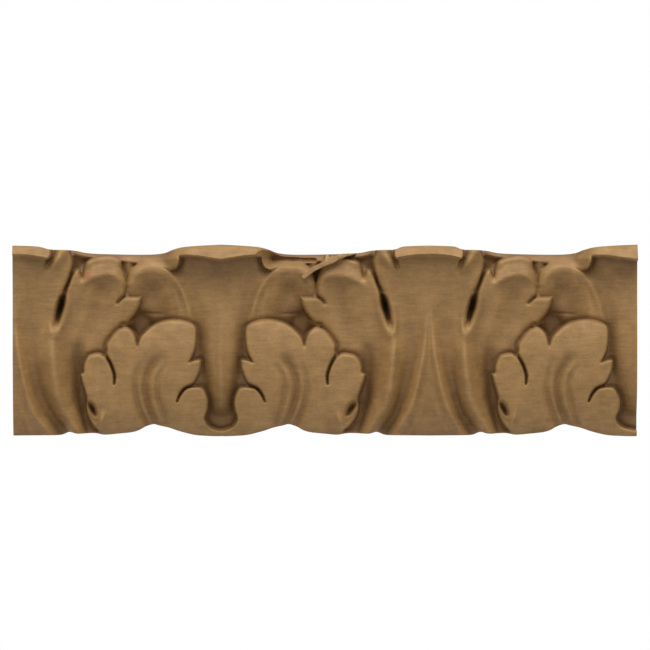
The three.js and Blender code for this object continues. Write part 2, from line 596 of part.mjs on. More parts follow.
// One closed body: front facets, back facets, and walls round the border.
function mouldingGeometry() {
  const positions = [];
  const numbers = new Map();
  const indices = [];
  const numberOf = (half, [column, row], flat) => {
    const along = half % 2 === 1 ? (half + 1) * GRID - column : half * GRID + column;
    const name = `${along} ${row} ${flat}`;
    if (!numbers.has(name)) {
      const { x, y, z } = grids[half][placeOf([column, row])];
      numbers.set(name, positions.length / 3);
      positions.push(x, flat ? 0 : y, z);
    }
    return numbers.get(name);
  };
  const flatTwins = new Map();
  const frontEdges = new Set();
  grids.forEach((points, half) => {
    for (const facet of facetsOf(frontNeeds)) {
      const corners = facet.map((corner) => numberOf(half, corner, false));
      if (half % 2 === 1) corners.reverse();
      indices.push(...corners);
      corners.forEach((start, side) => frontEdges.add(`${start} ${corners[(side + 1) % 3]}`));
      facet.filter(onBorder).forEach((corner) => (
        flatTwins.set(numberOf(half, corner, false), numberOf(half, corner, true))));
    }
    for (const facet of facetsOf(backNeeds)) {
      const corners = facet.map((corner) => numberOf(half, corner, true));
      if (half % 2 === 0) corners.reverse();
      indices.push(...corners);
    }
  });
  for (const edge of frontEdges) {
    const [start, end] = edge.split(' ').map(Number);
    const open = !frontEdges.has(`${end} ${start}`);
    if (open) indices.push(end, start, flatTwins.get(start), end, flatTwins.get(start), flatTwins.get(end));
  }
  const geometry = new THREE.BufferGeometry();
  geometry.setAttribute('position', new THREE.Float32BufferAttribute(positions, 3));
  geometry.setIndex(indices);
  geometry.computeVertexNormals();
  return geometry;
}

const composition = new THREE.MeshStandardMaterial({ color: 0x93734c, roughness: 0.62, metalness: 0 });
const moulding = new THREE.Mesh(mouldingGeometry(), composition);
moulding.name = 'leaf_moulding';

const part = new THREE.Group();
part.add(moulding);

export default part;
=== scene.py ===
import math

import bpy
import numpy as np
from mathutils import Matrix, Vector


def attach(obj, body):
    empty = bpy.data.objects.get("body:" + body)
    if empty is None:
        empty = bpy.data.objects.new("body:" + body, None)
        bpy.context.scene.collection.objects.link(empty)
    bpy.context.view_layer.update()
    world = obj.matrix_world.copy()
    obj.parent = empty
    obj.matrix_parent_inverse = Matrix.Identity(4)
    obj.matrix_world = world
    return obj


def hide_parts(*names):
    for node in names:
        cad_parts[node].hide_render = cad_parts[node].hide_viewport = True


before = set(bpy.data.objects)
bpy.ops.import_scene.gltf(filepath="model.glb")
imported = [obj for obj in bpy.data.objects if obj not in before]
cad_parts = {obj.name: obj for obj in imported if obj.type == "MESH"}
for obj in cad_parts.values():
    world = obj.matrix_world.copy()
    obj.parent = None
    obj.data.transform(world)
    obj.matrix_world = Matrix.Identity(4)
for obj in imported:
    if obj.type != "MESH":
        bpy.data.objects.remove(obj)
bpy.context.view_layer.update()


# The pressed length of leaf moulding. It is composition, a putty of chalk, glue and resin
# that sets hard, pressed in one piece in a mould carved in boxwood. It is cut square at
# both ends and glued by its flat back.

# One millimetre in metres.
MM = 0.001

# Sizes in millimetres. A half repeat runs from the axis of a tall leaf to that of the
# leaf behind, and each half repeat mirrors the one beside it.
HEIGHT = 25.4
HALF_REPEAT = 27.8
HALF_REPEATS = 3

# How far each layer stands off the flat back at its fullest.
GROUND_DEPTH = 3.2
TOP_RIM_DEPTH = 4.5
BACK_LEAF_DEPTH = 6.4
TALL_LEAF_DEPTH = 6.7
LOW_LEAF_DEPTH = 7.9
ROLLED_TIP_DEPTH = 9.8
SHOULDER_DEPTH = 3
BACK_LEAF_SIDE_DEPTH = 6
UPPER_EYE_RIM_DEPTH = 5
LOWER_EYE_RIM_DEPTH = 5.4

# How far parts of a layer fall back from its fullest, and over what width: the dish of the
# leaf behind and the step at its rim, the arch round it, the side lobe, the low leaf's two
# sides, the rolled tips and the top rim.
DISH_FALL = 1.6
DISH_RIM_FALL = 0.15
SIDE_LOBE_FALL = 0.6
LOW_LEAF_INNER_FALL = 0.5
LOW_LEAF_OUTER_FALL = 0.3
ROLLED_TIP_FALL = 2.2
TOP_RIM_FALL = 1
DISH_RIM_WIDTH = 3.2
DISH_STEP_WIDTH = 0.8
ARCH_FALL = 2.4
ARCH_WIDTHS = (0.2, 2.6)

# The rounding of the edges, and how far a wall drops for each millimetre outward.
LEAF_EDGE_RADIUS = 0.6
BACK_LEAF_EDGE_RADIUS = 1.2
LOW_LEAF_EDGE_RADIUS = 0.35
TIP_EDGE_RADIUS = 0.35
BORDER_RADIUS = 0.3
WALL_DROP = 24
LEAF_WALL_DROP = 10
UPPER_EYE_WALL_DROP = 6
LOWER_EYE_WALL_DROP = 3.4
TOP_RIM_WALL_DROP = 3
FILLET = 0.25
SHOULDER_FILLET = 1.8
EYE_FILLET = 0.5

# How deep and how wide the hand cut in beside the low leaf, to make it stand clear.
BESIDE_LOW_LEAF_CUT = 0.35
BESIDE_LOW_LEAF_WIDTH = 0.5

# How far the putty rounds off every edge and corner of the mould.
SOFTNESS = 0.07

# The drawing of one half repeat, in hundredths of it: across, from 0 at the axis of the
# tall leaf to 100 at the axis of the leaf behind, and up, from 0 at the foot to 100 at
# the top. A point given twice in a row is a sharp corner.
TOP_LINE = [
    (0, 100), (12, 99.5), (18, 98), (29, 97.5), (38, 95.9), (62, 95.3), (72, 96), (77, 97.9),
    (82, 99.2), (91, 100), (100, 100.5),
]
FOOT_LINE = [
    (0, 0), (17, 0.2), (23, 0.4), (27, 1.9), (31, 1), (38.5, 1.3), (44, 0.5), (50, 1), (57, 1.8),
    (60.5, 2.9), (63.5, 4.7), (67.3, 6), (70, 5.4), (75, 4.2), (79, 2.7), (83.6, 1.3), (88.5, 0.2),
    (96, -0.3), (100, -0.3),
]

# The places across between which one form eases into the next, and the heights up.
DISH_TO_STEM = (74, 84)
DISH_END = (78, 84)
TALL_MIDDLE_TO_SIDE = (19, 27)
SIDE_LOBE_LEAN = (30, 58)
LOW_LEAF_INNER_LEAN = (44, 60)
LOW_LEAF_OUTER_LEAN = (80, 95)
LOW_LEAF_LEAN_RISE = (10, 40)
ROLLED_TIP_RISE = (93, 101)
SHOULDER_TO_TIP = (66, 84)
SHOULDER_END = (76, 80)
ARCH_RISE = (80, 92)
TOP_RIM_RISE = (91, 98)

# The profile of a layer gives its depth at each height, as a share of its fullest.
TALL_PROFILE = [
    (0, 0.64), (8, 0.78), (18, 0.9), (30, 0.97), (42, 0.995), (54, 0.97), (64, 0.97), (74, 1.005),
    (84, 1.07), (91, 1.14), (100, 1.18),
]
SIDE_LOBE_PROFILE = [
    (0, 0.63), (10, 0.72), (25, 0.79), (45, 0.81), (60, 0.85), (72, 0.93), (80, 0.98), (86, 1.01),
    (95, 1), (100, 0.99),
]
BACK_PROFILE = [
    (0, 0.38), (5, 0.38), (10, 0.47), (16, 0.69), (24, 0.86), (35, 0.95), (50, 1), (62, 1),
    (75, 0.98), (84, 1), (91, 1.05), (100, 1.1),
]
LOW_PROFILE = [
    (-5, 0.54), (0, 0.61), (6, 0.71), (14, 0.81), (24, 0.89), (34, 0.94), (44, 0.97), (50, 0.965),
    (56, 0.94), (61, 0.9), (66, 0.85),
]

# The outline of the tall leaf: its small upper lobe, the side lobe with its toothed and
# curled edge, and the pointed lobe below.
TALL_LEAF = [
    (-10, 108), (26, 108), (26.6, 97), (27.6, 93.5), (28.2, 90.5), (27.4, 85), (25.5, 78.4),
    (24.3, 76), (24.3, 76), (25.4, 77.5), (27, 80.4), (28.6, 84), (30, 86.4), (31.4, 86.6),
    (32.4, 84.4), (33.4, 82.6), (33.4, 82.6), (34, 85), (34.6, 88), (35.8, 91), (38.5, 92.6),
    (42.3, 93.8), (46.6, 94.2), (51, 92.2), (52, 88), (53.5, 83.7), (54.3, 80), (54, 76.5),
    (52.8, 73),
    (50.3, 70), (50.3, 70), (52.4, 72), (54.8, 72.8), (58, 72.8), (61.5, 72.8), (61.5, 72.8),
    (60.8, 68.4), (58.2, 63.2), (54.8, 59), (51.9, 57.9), (53, 50), (49, 35), (45, 19), (41, -8),
    (41, -8), (-10, -8), (-10, -8),
]

# The outline of the low leaf in front: five round lobes and two small teeth.
LOW_LEAF = [
    (43, -8), (42.6, -1), (41, 3.2), (38.6, 5.8), (36.5, 9.5), (35.5, 13.5), (35.6, 17),
    (35.6, 20.5), (34.6, 24.2), (33.4, 28.4), (32.6, 32.1), (32.6, 32.1), (34, 33.2),
    (34.1, 35.8), (34.9, 38.9), (36.5, 41.6), (38.9, 42.7), (41.8, 42.9), (44, 41.6),
    (44, 41.6), (45.2, 44.2), (45.2, 47.4), (46.4, 49.9), (49.5, 54.2), (52.4, 56.3),
    (54.8, 56.6), (57.4, 54.4), (58.8, 51.6), (59.9, 46.6), (59.9, 46.6), (61.2, 51),
    (63.7, 54.3), (67.3, 57.6), (71.6, 59.7), (76.9, 60.8), (82.2, 60.2), (86.5, 58.6),
    (88, 56.3), (88.2, 52.1), (87.5, 45.8), (86.1, 41.6), (84.6, 38.4),
    (84.6, 38.4), (86.5, 39.4), (89.4, 39.8), (90.2, 38.9), (89.7, 34.2), (87.5, 28.9),
    (84.8, 25.2), (84.8, 25.2), (87.3, 25.5), (90.6, 25), (92.3, 22.6), (93.5, 18.4),
    (93.3, 13.7), (92.3, 10.5), (92.3, 7.9), (94.2, 4.7), (97.1, 3.2), (100, 2.6), (110, 2.6),
    (110, 2.6), (110, -8), (110, -8),
]

# The leaf behind, the arched dish in its side, and the thin rim along the top.
BACK_LEAF = [
    (53.4, 70), (54.2, 78), (55, 83), (56.2, 87), (59, 90.3), (59, 90.3), (60, 108),
    (60, 108), (110, 108), (110, 108), (110, -8), (110, -8), (54, -8), (54, -8),
]
DISH = [
    (56.7, 80), (58.4, 83.7), (62, 86.3), (67.3, 87.2), (72.6, 85.6), (76.4, 80.5), (78.4, 74.7),
    (79.8, 67.9), (80.2, 61), (80.2, -20), (80.2, -20), (50, -20), (50, -20), (50, 72),
]
TOP_RIM = [
    (27, 110), (27, 95.6), (34, 94.8), (39, 94), (42, 93.2), (52, 91.5), (59.4, 90.3), (72, 89),
    (80, 91), (82, 110), (82, 110),
]

# The rolled tips of both leaves, and the drop-shaped eyes sunk between the lobes.
TALL_TIP = [
    (-10, 110), (-10, 95), (-10, 95), (0, 95), (5, 94.9), (10, 94.3), (15, 93.4), (17.2, 93.2),
    (18.2, 94.5), (18.4, 97), (18.4, 110), (18.4, 110),
]
BACK_TIP = [
    (66, 110), (66, 93), (70, 90), (73.6, 88), (76.4, 87.6), (78.8, 89), (80, 92), (80.2, 94.4),
    (80.2, 94.4), (84, 94.6), (89, 94.2), (96, 93), (100, 92.2), (104, 93), (104, 110), (104, 110),
]
UPPER_EYE = [
    (24.6, 74.4), (24.7, 71.6), (24.1, 67.4), (22.9, 63.7), (21.7, 60.8), (20.8, 61), (20.9, 64.4),
    (21.6, 68.4), (22.9, 72.4),
]
LOWER_EYE = [
    (36.6, 17.6), (38, 16.6), (39.3, 14.4), (40, 11.6), (39.7, 10.3), (38.7, 11), (37.5, 13.2),
    (36.6, 15.6),
]

# Strokes of the gouge. Each point is across, up, half width and height of the stroke, the
# last two in hundredths of the moulding's height. A cut has a height below 0.
TALL_STROKES = [
    # The raised line along each side of the stalk, spreading to the foot.
    [
        (0.3, 80, 2.4, 0), (0.8, 66, 2.4, 1.2), (1.8, 54, 2.4, 2.4), (2.8, 44.7, 2.5, 3.2),
        (4.6, 33.4, 2.6, 3.8), (7, 21.6, 2.7, 4.2), (10.2, 11, 2.8, 4.2), (14.6, 4.8, 2.8, 4),
        (18.6, -1, 2.8, 3.8),
    ],
    # The hollow between those lines at the foot, with one fine line left standing in it.
    [(0, 38, 2, 0), (0, 30, 4, -0.6), (0, 15, 8, -1.4), (0, 0, 12, -2)],
    [(1.4, 26, 1, 0), (2.6, 17, 1, 0.5), (5.4, 9, 1.1, 0.7), (9.4, 1.6, 1.1, 0.7)],
    # The deep flute beside the stalk.
    [
        (9, 76, 6, 0), (8.4, 62, 6, -1.6), (8.4, 50, 5.4, -3), (9, 42, 5, -4),
        (10.6, 32, 4.8, -5), (13.2, 21.6, 4.6, -5.8), (17, 13.6, 4.4, -6.2), (22, 5.8, 4.2, -6.4),
        (26.2, 0, 4, -6.2),
    ],
    # The ridge that runs down from the upper eye.
    [
        (20, 60, 2.4, 0), (18.8, 53, 3.4, 1.6), (19, 45, 4, 2.8), (20, 36.8, 4.2, 3.6),
        (21.4, 26.8, 4.2, 4.2), (23.4, 16.3, 4.2, 4.6), (26.4, 8.4, 3.9, 4.8), (30.4, 1, 3.6, 4.8),
    ],
    # The channel between the side lobe and the low leaf.
    [
        (30, 56, 4.6, 0), (30.4, 49, 4.4, -1), (30.8, 42, 4, -3.6), (31.2, 34.7, 4, -5.8),
        (31.8, 26.8, 4, -7), (32.6, 20.3, 4, -7.4), (34.4, 13.7, 3.8, -7.8), (36.6, 7.1, 3.8, -8.4),
        (39.4, 0, 3.8, -8.4),
    ],
    # The crease that runs down into the upper eye.
    [
        (28, 85, 0.8, -1.6), (26.6, 80, 0.8, -3.2), (25.6, 77.5, 0.8, -4.4),
        (24.7, 74.5, 0.8, -4.8),
    ],
    # The ramp that rises out of its foot.
    [(22, 63, 1, -6), (21, 60, 1.2, -4.4), (20.4, 57.4, 1.4, -1.4), (20.2, 55.6, 1.4, 0)],
    # The lips on both sides of the upper eye.
    [
        (28, 82, 1.6, 0.4), (26.8, 74, 2.2, 1.4), (26, 66, 2.2, 1.6), (23.8, 58.5, 2.2, 1.4),
        (20.8, 53, 2.4, 1.2),
    ],
    [
        (22.5, 79, 2, 0.4), (20.4, 71, 2.2, 0.8), (18.4, 66, 2.2, 1), (17.6, 60, 2.2, 1),
        (18.2, 55, 2.2, 1),
    ],
    # The crest of the small upper lobe, and the cleft between it and the rolled tip.
    [
        (15.4, 86, 2, 0), (17.8, 88, 2.4, 1), (21, 91.4, 2.8, 2.2),
        (24, 95, 3.2, 2.8), (25.4, 99, 4, 2.4),
    ],
    [
        (19.5, 98, 2, -9.6), (19, 95.5, 1.9, -8.8), (17.7, 91.5, 1.7, -5.6), (15.8, 88, 1.5, -1.6),
        (14.6, 86, 1.5, 0),
    ],
    # The curled edge of the side lobe, and the hollow below it.
    [
        (33.6, 78.5, 1.8, 0.4), (35, 80.3, 1.8, 0.8), (38.5, 82.6, 2, 1.3), (43.8, 84.4, 2.2, 1.5),
        (48.5, 83.9, 2, 1.3), (52.4, 80.8, 1.8, 0.6),
    ],
    [
        (33.4, 83, 2, -1), (35, 86.6, 2.6, -2.2), (38, 89.6, 2.6, -1.6), (43, 91.4, 2.8, -1.1),
        (48, 91, 2.6, -1), (51.6, 88.5, 2.2, -1.6), (53.6, 83, 2, -1.8), (54.4, 78, 1.8, -1.4),
    ],
    [
        (43.8, 82, 5, 0), (43.8, 78.6, 6, -2.8), (43.2, 75.4, 6.6, -3.8), (42, 69, 7.4, -2.8),
        (39.5, 61, 7, -1.4), (37, 53, 6, 0),
    ],
    # The slit above the pointed lobe.
    [(52.2, 72.6, 0.9, -1.6), (50.5, 70.4, 0.8, -1.2), (49.4, 68.8, 0.8, 0)],
    # Faint veins of the side lobe.
    [
        (39, 76, 3.2, 0), (37.5, 71.6, 3.2, 0.4), (33.7, 61, 3.2, 0.8), (30, 50.5, 3.2, 0.8),
        (28, 42.6, 3.2, 0.4),
    ],
    [(44, 73, 3.6, 0), (44, 71, 3.6, -0.2), (41, 60, 4, -0.6), (37, 50, 4, -0.6)],
]
BACK_STROKES = [
    # The low line down the middle of the stem.
    [
        (100, 70, 2.4, 0), (100, 62, 2.4, 0.6), (100, 40, 2.4, 1.6), (100, 24, 2.8, 1.6),
        (100, 12, 3.2, 0),
    ],
    # The rib between the dish and the stem, and the hollow beside it.
    [
        (74.6, 86.6, 2, 1), (78, 82, 2.2, 1.8), (81, 77, 2.2, 2.2), (84, 69, 2.2, 2),
        (86, 61, 2.2, 1.6),
    ],
    [
        (83, 92, 4, -1.2), (84.4, 84, 4, -1.2), (87, 76, 4, -1.2), (88.6, 66, 4, -2),
        (89.4, 54, 4.2, -4), (89.8, 40, 4.6, -4.6), (91.6, 30, 4.4, -4.6), (93, 16, 4, -4),
    ],
    # The deep corner behind the first two big lobes of the low leaf.
    [(53, 66, 4, -1), (60, 61, 6, -4.4), (61, 56, 6.5, -9), (60, 48, 5, -12)],
    # A faint crease across the foot of the dish.
    [(60, 65, 0.8, 0), (64, 64.4, 0.7, -0.5), (70, 64.2, 0.7, -0.45), (75, 63.6, 0.8, 0)],
]
GROUND_STROKES = [
    # The pocket between the small upper lobe and the side lobe.
    [(28.5, 96, 3, 2), (31, 93, 3.4, 1.6), (33, 89, 3, 1.6), (33, 84, 2, 4)],
    [(31, 96, 2, 2.4), (35, 94.6, 2.4, 4), (41, 93.4, 2.4, 4)],
    # The web at the foot of the pocket between the side lobe and the leaf behind.
    [
        (54, 68, 2.6, 8), (54.8, 74, 2.8, 7.4), (55.2, 79, 2.8, 6), (55.6, 85, 3.4, 4.4),
        (55.6, 91, 4.4, 4.6),
    ],
    [(48, 58, 3, 5), (50.6, 58.6, 3, 6.4), (53.4, 57.6, 3, 7), (55, 60, 3, 6)],
]
LOW_STROKES = [
    # Three flutes that run down the middle of the leaf, with fine ridges between them.
    [
        (62.4, 41, 1.5, 0), (61.4, 38, 1.5, -0.6), (59.6, 31.6, 1.7, -1.5), (58.7, 24.9, 1.7, -2),
        (59.8, 17.6, 1.8, -2.4), (62, 11, 1.9, -2.6), (65.6, 4, 2.2, -2.8),
    ],
    [
        (71, 41.4, 1.8, 0), (69.4, 40.2, 2.2, -1.1), (66.3, 35.4, 2.1, -2),
        (64.2, 30.1, 2, -2.5), (63.6, 24.2, 1.9, -2.8), (64.6, 17.6, 1.9, -3),
        (66.3, 12.4, 2, -3.2), (69.4, 5, 2.4, -3.4),
    ],
    [
        (74.4, 37.4, 1.6, 0), (73.1, 36, 1.6, -0.6), (70.7, 32.1, 1.6, -1.4),
        (69.5, 26.8, 1.6, -1.8), (69.7, 20.3, 1.6, -2.1), (71.2, 13.7, 1.7, -2.2),
        (73.4, 7, 2, -2.2),
    ],
    # The hollow of the biggest lobe, and the trough that the flutes lie in.
    [(70.5, 41.5, 3.2, 0), (68, 39, 3.6, -1.4), (65.6, 34.6, 3.2, -1), (64, 28, 3, 0)],
    [(64, 32, 6, 0), (63.5, 22, 6.4, -1.6), (65.5, 10, 7, -2.6), (67, 2, 8, -3)],
    # The thin lip that curls round the lower eye.
    [
        (36.4, 20, 1.2, -0.6), (36.2, 14, 1.8, -1.6), (37.6, 9, 2, -2.4), (40, 5.4, 2.2, -2),
        (42.6, 1, 2.4, -1),
    ],
    # The curled edge inside that lip.
    [
        (43.4, 13.4, 1.2, 0), (43.2, 10, 1.6, 1.8), (42.2, 6.8, 1.8, 3), (40.2, 5.4, 1.6, 2.4),
        (38, 7, 1.4, 0.6),
    ],
    # Slits between the lobes.
    [
        (43.8, 43.4, 0.8, -7), (45.4, 41, 0.7, -7), (47.4, 37, 0.6, -6.4), (48.8, 32.4, 0.6, -6),
        (48.9, 29.4, 0.5, -5.4), (48.7, 27, 0.3, -4.8),
    ],
    [
        (87, 27, 0.7, -4.8), (84.6, 26, 0.7, -5.4), (82.2, 24.4, 0.7, -5.6), (80.2, 21.4, 0.6, -5),
        (78.8, 17.8, 0.3, -4.4),
    ],
]

# How far the carver's hand let the lobes wander towards the tall leaf in each half
# repeat: the most they moved, and the places between which they did.
DRIFT = [
    (0, (0, 1), (99, 100)),
    (1.9, (12, 20), (32, 42)),
    (2.2, (10, 20), (92, 99)),
]

# How hollow each place is, for the stain and painted shade that darken it there: the widths in
# millimetres over which its depth is compared, and how much each counts.
HOLLOW_WIDTHS = [(0.4, 1), (1.4, 0.6), (3, 0.25)]

# How many straight pieces draw each stretch of a smooth line, how finely one half repeat is
# pressed in columns across and rows up, and how many times its own width a rounding reaches.
LINE_STEPS = 6
COLUMNS = 400
ROWS = 360
SOFT_REACH = 2.5


def across(share):
    return share * HALF_REPEAT / 100


def upward(share):
    return share * HEIGHT / 100


def ease(value, first, second):
    """A share that eases from 0 at the first value to 1 at the second."""
    share = np.clip((value - first) / (second - first), 0, 1)
    return share * share * (3 - 2 * share)


def mix(start, end, share):
    return start + (end - start) * share


def larger(one, other, fillet):
    """The larger of two depths, with a small fillet where they meet."""
    share = np.clip(0.5 + 0.5 * (one - other) / fillet, 0, 1)
    return mix(other, one, share) + fillet * share * (1 - share)


def smaller(one, other, fillet):
    return -larger(-one, -other, fillet)


def smooth_line(points, closed):
    """A smooth line through points of any number of values."""
    points = np.array(points, float)
    count = len(points)
    line = []
    for index in range(count if closed else count - 1):
        places = [index - 1, index, index + 1, index + 2]
        if closed:
            places = [place % count for place in places]
        before, start, end, after = points[np.clip(places, 0, count - 1)]
        if (start == end).all():
            continue
        for share in np.arange(LINE_STEPS) / LINE_STEPS:
            line.append(0.5 * (
                2 * start + (end - before) * share
                + (2 * before - 5 * start + 4 * end - after) * share ** 2
                + (3 * start - before - 3 * end + after) * share ** 3))
    if not closed:
        line.append(points[-1])
    return np.array(line)


def in_millimetres(line):
    return np.column_stack([across(line[:, 0]), upward(line[:, 1:])])


def height_at(points, place):
    """The height of a profile or silhouette at each place, from its smooth line."""
    line = smooth_line(points, False)
    return np.interp(place, line[:, 0], line[:, 1])


def nearest(x, z, start, end):
    """How far along a straight stretch its nearest place lies, and its distance squared."""
    run, rise = end[0] - start[0], end[1] - start[1]
    along = (x - start[0]) * run + (z - start[1]) * rise
    share = np.clip(along / (run * run + rise * rise), 0, 1)
    return share, (x - start[0] - share * run) ** 2 + (z - start[1] - share * rise) ** 2


def distance_inside(x, z, points):
    """The distance in from an outline, which is below 0 outside it."""
    outline = in_millimetres(smooth_line(points, True))
    apart = np.full(x.shape, np.inf)
    inside = np.zeros(x.shape, bool)
    for start, end in zip(outline, np.roll(outline, -1, axis=0)):
        apart = np.minimum(apart, nearest(x, z, start, end)[1])
        if start[1] != end[1]:
            crosses = (start[1] > z) != (end[1] > z)
            crossing = mix(start[0], end[0], (z - start[1]) / (end[1] - start[1]))
            inside ^= crosses & (x < crossing)
    return np.where(inside, 1, -1) * np.sqrt(apart)


def strokes_at(x, z, strokes):
    """The height that all strokes of the gouge add."""
    total = np.zeros(x.shape)
    for points in strokes:
        strongest = np.zeros(x.shape)
        line = in_millimetres(smooth_line(points, False))
        for start, end in zip(line[:-1], line[1:]):
            share, apart = nearest(x, z, start, end)
            half_width = mix(start[2], end[2], share)
            height = mix(start[3], end[3], share) * np.exp(-apart / half_width ** 2)
            strongest = np.where(abs(height) > abs(strongest), height, strongest)
        total += strongest
    return total


def with_edge(depth, inside, radius, drop):
    """A layer with a rounded edge inside its outline and a steep wall outside it."""
    rounded = np.clip(1 - inside / radius, 0, 1)
    edge = depth - radius * (1 - np.sqrt(1 - rounded ** 2))
    return np.where(inside > 0, edge, depth - radius + drop * inside)


def back_leaf_depth(share, up, x, z):
    """The leaf behind: a stem in the middle, and an arched dish in each side."""
    stem = ease(share, *DISH_TO_STEM)
    dish = distance_inside(x, z, DISH)
    hollow = DISH_FALL * ease(dish, 0, DISH_RIM_WIDTH)
    hollow = hollow + DISH_RIM_FALL * ease(dish, 0, DISH_STEP_WIDTH)
    arch = BACK_LEAF_SIDE_DEPTH - ARCH_FALL * ease(-dish, *ARCH_WIDTHS) * ease(up, *ARCH_RISE)
    shape = mix(arch, BACK_LEAF_DEPTH * height_at(BACK_PROFILE, up), stem)
    depth = shape - hollow * (1 - ease(share, *DISH_END)) + strokes_at(x, z, BACK_STROKES)
    inside = distance_inside(x, z, BACK_LEAF)
    return with_edge(depth, inside, BACK_LEAF_EDGE_RADIUS, LEAF_WALL_DROP)


def tall_leaf_depth(share, up, x, z):
    """The tall leaf, whose side lobes lie back from its middle."""
    side = ease(share, *TALL_MIDDLE_TO_SIDE)
    profile = mix(height_at(TALL_PROFILE, up), height_at(SIDE_LOBE_PROFILE, up), side)
    shape = TALL_LEAF_DEPTH * profile
    depth = shape - SIDE_LOBE_FALL * ease(share, *SIDE_LOBE_LEAN) + strokes_at(x, z, TALL_STROKES)
    return with_edge(depth, distance_inside(x, z, TALL_LEAF), LEAF_EDGE_RADIUS, LEAF_WALL_DROP)


def low_leaf_depth(share, up, x, z, inside):
    """The low leaf, which leans back a little at both sides."""
    inner = (1 - ease(share, *LOW_LEAF_INNER_LEAN)) * ease(up, *LOW_LEAF_LEAN_RISE)
    lean = LOW_LEAF_INNER_FALL * inner + LOW_LEAF_OUTER_FALL * ease(share, *LOW_LEAF_OUTER_LEAN)
    depth = LOW_LEAF_DEPTH * height_at(LOW_PROFILE, up) - lean + strokes_at(x, z, LOW_STROKES)
    return with_edge(depth, inside, LOW_LEAF_EDGE_RADIUS, WALL_DROP)


def tip_depth(up, x, z, outline, fullest):
    """A rolled tip slopes back towards the top."""
    first, last = ROLLED_TIP_RISE
    depth = fullest - ROLLED_TIP_FALL * np.clip((up - first) / (last - first), 0, 1)
    return with_edge(depth, distance_inside(x, z, outline), TIP_EDGE_RADIUS, WALL_DROP)


def sink_eye(depth, x, z, outline, rim, drop):
    """An eye is sunk as a pit whose walls slope to its middle."""
    return smaller(depth, rim - drop * distance_inside(x, z, outline), EYE_FILLET)


def front_depth(x, z):
    """The depth of the whole front of a half repeat."""
    share, up = 100 * x / HALF_REPEAT, 100 * z / HEIGHT
    rim = TOP_RIM_DEPTH - TOP_RIM_FALL * ease(up, *TOP_RIM_RISE)
    rim = with_edge(rim, distance_inside(x, z, TOP_RIM), TIP_EDGE_RADIUS, TOP_RIM_WALL_DROP)
    depth = larger(GROUND_DEPTH + strokes_at(x, z, GROUND_STROKES), rim, FILLET)
    depth = larger(depth, back_leaf_depth(share, up, x, z), FILLET)
    depth = larger(depth, tall_leaf_depth(share, up, x, z), FILLET)
    depth = sink_eye(depth, x, z, UPPER_EYE, UPPER_EYE_RIM_DEPTH, UPPER_EYE_WALL_DROP)
    inside = distance_inside(x, z, LOW_LEAF)
    outside = np.minimum(inside, 0)
    depth = depth - BESIDE_LOW_LEAF_CUT * np.exp(-(outside / BESIDE_LOW_LEAF_WIDTH) ** 2)
    depth = larger(depth, low_leaf_depth(share, up, x, z, inside), FILLET)
    depth = sink_eye(depth, x, z, LOWER_EYE, LOWER_EYE_RIM_DEPTH, LOWER_EYE_WALL_DROP)
    depth = larger(depth, tip_depth(up, x, z, TALL_TIP, ROLLED_TIP_DEPTH), FILLET)
    shoulder = mix(SHOULDER_DEPTH, ROLLED_TIP_DEPTH, ease(share, *SHOULDER_TO_TIP))
    fillet = mix(SHOULDER_FILLET, FILLET, ease(share, *SHOULDER_END))
    return larger(depth, tip_depth(up, x, z, BACK_TIP, shoulder), fillet)


def softened(depth, softness):
    """A grid of depths smoothed both ways, and carried on past its borders by its mirror image."""
    for axis, step in enumerate((HALF_REPEAT / COLUMNS, HEIGHT / ROWS)):
        reach = math.ceil(SOFT_REACH * softness / step)
        weights = np.exp(-(np.arange(-reach, reach + 1) * step / softness) ** 2 / 2)
        padding = [(reach, reach) if side == axis else (0, 0) for side in range(2)]
        padded = np.pad(depth, padding, mode="reflect")
        weights = weights / weights.sum()
        depth = np.apply_along_axis(np.convolve, axis, padded, weights, mode="valid")
    return depth


# The front of one half repeat, as the carver cut it once in the mould: a grid of places
# from the foot to the top line, its depth at each, and how hollow it is there.
hundredths = np.linspace(0, 100, COLUMNS + 1)[:, None]
foot = upward(height_at(FOOT_LINE, hundredths))
top = upward(height_at(TOP_LINE, hundredths))
grid_z = mix(foot, top, np.linspace(0, 1, ROWS + 1)[None, :])
grid_x = np.broadcast_to(across(hundredths), grid_z.shape)
border = np.minimum(grid_z - foot, top - grid_z)
front = softened(front_depth(grid_x, grid_z), SOFTNESS)
half_hollowness = 0
for hollow_width, weight in HOLLOW_WIDTHS:
    half_hollowness = half_hollowness + weight * (softened(front, hollow_width) - front)
front = with_edge(front, border, BORDER_RADIUS, WALL_DROP)
half_corners = np.stack([grid_x, -front, grid_z - HEIGHT / 2], axis=-1).reshape(-1, 3) * MM
numbers = np.arange(len(half_corners)).reshape(grid_z.shape)
squares = np.stack(
    [numbers[:-1, :-1], numbers[1:, :-1], numbers[1:, 1:], numbers[:-1, 1:]], axis=-1)
half_mesh = bpy.data.meshes.new("leaf_moulding")
half_mesh.from_pydata(half_corners, [], squares.reshape(-1, 4))
hollow_values = half_mesh.attributes.new("hollow", "FLOAT", "POINT").data
hollow_values.foreach_set("value", half_hollowness.ravel())
moulding = bpy.data.objects.new("leaf_moulding_pressed", half_mesh)
bpy.context.scene.collection.objects.link(moulding)


def add_node(tree, kind, inputs=None, **settings):
    """A node with its settings, and each input given as a value or as the socket that feeds it."""
    node = tree.nodes.new(kind)
    for name, value in settings.items():
        setattr(node, name, value)
    for name, value in (inputs or {}).items():
        if isinstance(value, bpy.types.NodeSocket):
            tree.links.new(value, node.inputs[name])
        else:
            node.inputs[name].default_value = value
    return node


def calculated(tree, operation, *values):
    """The socket that gives the result of a sum on values or on other sockets."""
    inputs = dict(enumerate(values))
    return add_node(tree, "ShaderNodeMath", inputs, operation=operation).outputs[0]


